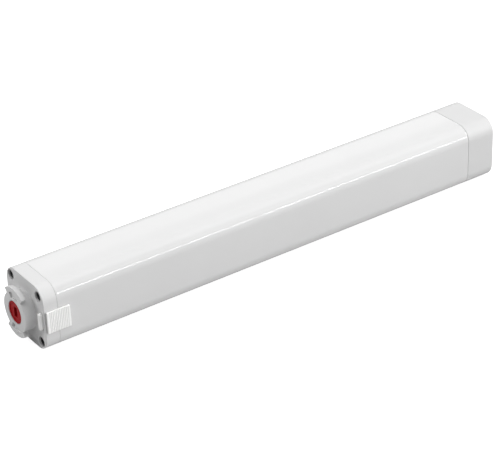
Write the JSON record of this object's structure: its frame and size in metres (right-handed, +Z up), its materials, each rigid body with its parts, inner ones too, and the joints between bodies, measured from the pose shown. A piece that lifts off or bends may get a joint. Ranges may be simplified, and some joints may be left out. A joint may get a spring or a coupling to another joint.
{
  "type": "curtain track motor",
  "caption": "Long square curtain-track drive motor with a bayonet head, red drive socket, side latch and tail cap.",
  "frame": {"origin": "centre of the head housing's front face, on the drive axis", "axes": "+X along the drive axis from head to tail, +Z up as it lies in the picture, -Y the side with the latch"},
  "size_m": [0.4282, 0.054, 0.052],
  "materials": {
    "white_tube": "glossy white lacquer",
    "white_cap": "fine moulded texture",
    "grey_head": "fine moulded texture",
    "white_latch": "smooth moulded",
    "red_socket": "smooth moulded",
    "screw_steel": "zinc plated",
    "bright_steel": "ground",
    "spring_steel": "drawn wire",
    "case_alloy": "die cast",
    "gear_plastic": "smooth moulded",
    "brass": "turned brass",
    "copper": "enamelled wire",
    "ferrite": "sintered",
    "black_plastic": "fine moulded texture",
    "rubber": "smooth",
    "circuit_board": "solder mask",
    "transformer_tape": "wrapped tape",
    "capacitor_sleeve": "shrunk sleeve",
    "white_nylon": "smooth moulded",
    "shield_can": "tinned",
    "ribbon": "ribbon cable",
    "red_wire": "insulated wire",
    "clear_pipe": "clear",
    "button_grey": "smooth moulded"
  },
  "bodies": {
    "housing": {"body_tube": "white_tube", "head_housing": "grey_head", "head_screws": "screw_steel", "latch_spring": "spring_steel", "bearing_outer_rings": "bright_steel", "bearing_balls": "bright_steel", "outer_spacer": "case_alloy", "gear_case": "case_alloy", "gearbox_bolts": "screw_steel", "motor_plate": "case_alloy", "motor_screws": "screw_steel", "motor_can": "shield_can", "motor_magnets": "ferrite", "motor_bushes": "brass", "motor_brushes": "ferrite", "motor_end_bell": "black_plastic", "encoder_board": "circuit_board", "motor_dampers": "rubber", "motor_leads": "red_wire", "power_board": "circuit_board", "transformer": "transformer_tape", "capacitor": "capacitor_sleeve", "lead_socket": "white_nylon", "control_board": "circuit_board", "radio_module": "shield_can", "encoder_cable": "ribbon", "tail_cap": "white_cap", "tail_screws": "screw_steel", "power_inlet": "black_plastic", "inlet_pins": "brass", "tail_board": "circuit_board", "tail_cable": "ribbon", "setting_switch": "black_plastic", "status_lamp": "white_nylon", "light_pipe": "clear_pipe"},
    "output": {"drive_socket": "red_socket", "socket_screw": "screw_steel", "output_shaft": "bright_steel", "shaft_circlip": "spring_steel", "bearing_inner_rings": "bright_steel", "inner_spacer": "case_alloy", "output_planet_pins": "bright_steel"},
    "input_stage": {"input_carrier": "bright_steel", "input_planet_pins": "bright_steel"},
    "rotor": {"sun_gear": "brass", "motor_shaft": "bright_steel", "armature_core": "ferrite", "armature_winding": "copper", "commutator": "copper", "encoder_magnet": "ferrite"},
    "output_gear_1": {"output_planet_1": "gear_plastic"},
    "output_gear_2": {"output_planet_2": "gear_plastic"},
    "output_gear_3": {"output_planet_3": "gear_plastic"},
    "input_gear_1": {"input_planet_1": "gear_plastic"},
    "input_gear_2": {"input_planet_2": "gear_plastic"},
    "input_gear_3": {"input_planet_3": "gear_plastic"},
    "latch": {"latch_slider": "white_latch"},
    "button": {"setting_button": "button_grey", "switch_plunger": "white_nylon"}
  },
  "joints": [
    {"name": "output_spin", "type": "hinge", "parent": "housing", "child": "output", "pos_m": [0, 0, 0], "axis": [1, 0, 0], "continuous": true},
    {"name": "input_stage_spin", "type": "hinge", "parent": "housing", "child": "input_stage", "pos_m": [0, 0, 0], "axis": [1, 0, 0], "continuous": true},
    {"name": "rotor_spin", "type": "hinge", "parent": "housing", "child": "rotor", "pos_m": [0, 0, 0], "axis": [1, 0, 0], "continuous": true},
    {"name": "output_gear_1_spin", "type": "hinge", "parent": "output", "child": "output_gear_1", "pos_m": [0.0298, 0.0105, 0], "axis": [1, 0, 0], "continuous": true},
    {"name": "output_gear_2_spin", "type": "hinge", "parent": "output", "child": "output_gear_2", "pos_m": [0.0298, -0.00525, 0.00909], "axis": [1, 0, 0], "continuous": true},
    {"name": "output_gear_3_spin", "type": "hinge", "parent": "output", "child": "output_gear_3", "pos_m": [0.0298, -0.00525, -0.00909], "axis": [1, 0, 0], "continuous": true},
    {"name": "input_gear_1_spin", "type": "hinge", "parent": "input_stage", "child": "input_gear_1", "pos_m": [0.0412, 0.0105, 0], "axis": [1, 0, 0], "continuous": true},
    {"name": "input_gear_2_spin", "type": "hinge", "parent": "input_stage", "child": "input_gear_2", "pos_m": [0.0412, -0.00525, 0.00909], "axis": [1, 0, 0], "continuous": true},
    {"name": "input_gear_3_spin", "type": "hinge", "parent": "input_stage", "child": "input_gear_3", "pos_m": [0.0412, -0.00525, -0.00909], "axis": [1, 0, 0], "continuous": true},
    {"name": "latch_slide", "type": "slide", "parent": "housing", "child": "latch", "axis": [1, 0, 0], "range_m": [0, 0.004], "stiffness_N_per_m": 600, "springref_m": -0.004, "deforming": ["latch_spring"]},
    {"name": "button_press", "type": "slide", "parent": "housing", "child": "button", "axis": [-1, 0, 0], "range_m": [0, 0.0008], "stiffness_N_per_m": 1200, "springref_m": -0.0004}
  ],
  "couplings": [
    {"joint": "input_stage_spin", "follows": "output_spin", "ratio": 5},
    {"joint": "rotor_spin", "follows": "output_spin", "ratio": 25},
    {"joint": "output_gear_1_spin", "follows": "output_spin", "ratio": -2.6667},
    {"joint": "input_gear_1_spin", "follows": "output_spin", "ratio": -13.333},
    {"joint": "output_gear_2_spin", "follows": "output_spin", "ratio": -2.6667},
    {"joint": "input_gear_2_spin", "follows": "output_spin", "ratio": -13.333},
    {"joint": "output_gear_3_spin", "follows": "output_spin", "ratio": -2.6667},
    {"joint": "input_gear_3_spin", "follows": "output_spin", "ratio": -13.333}
  ]
}
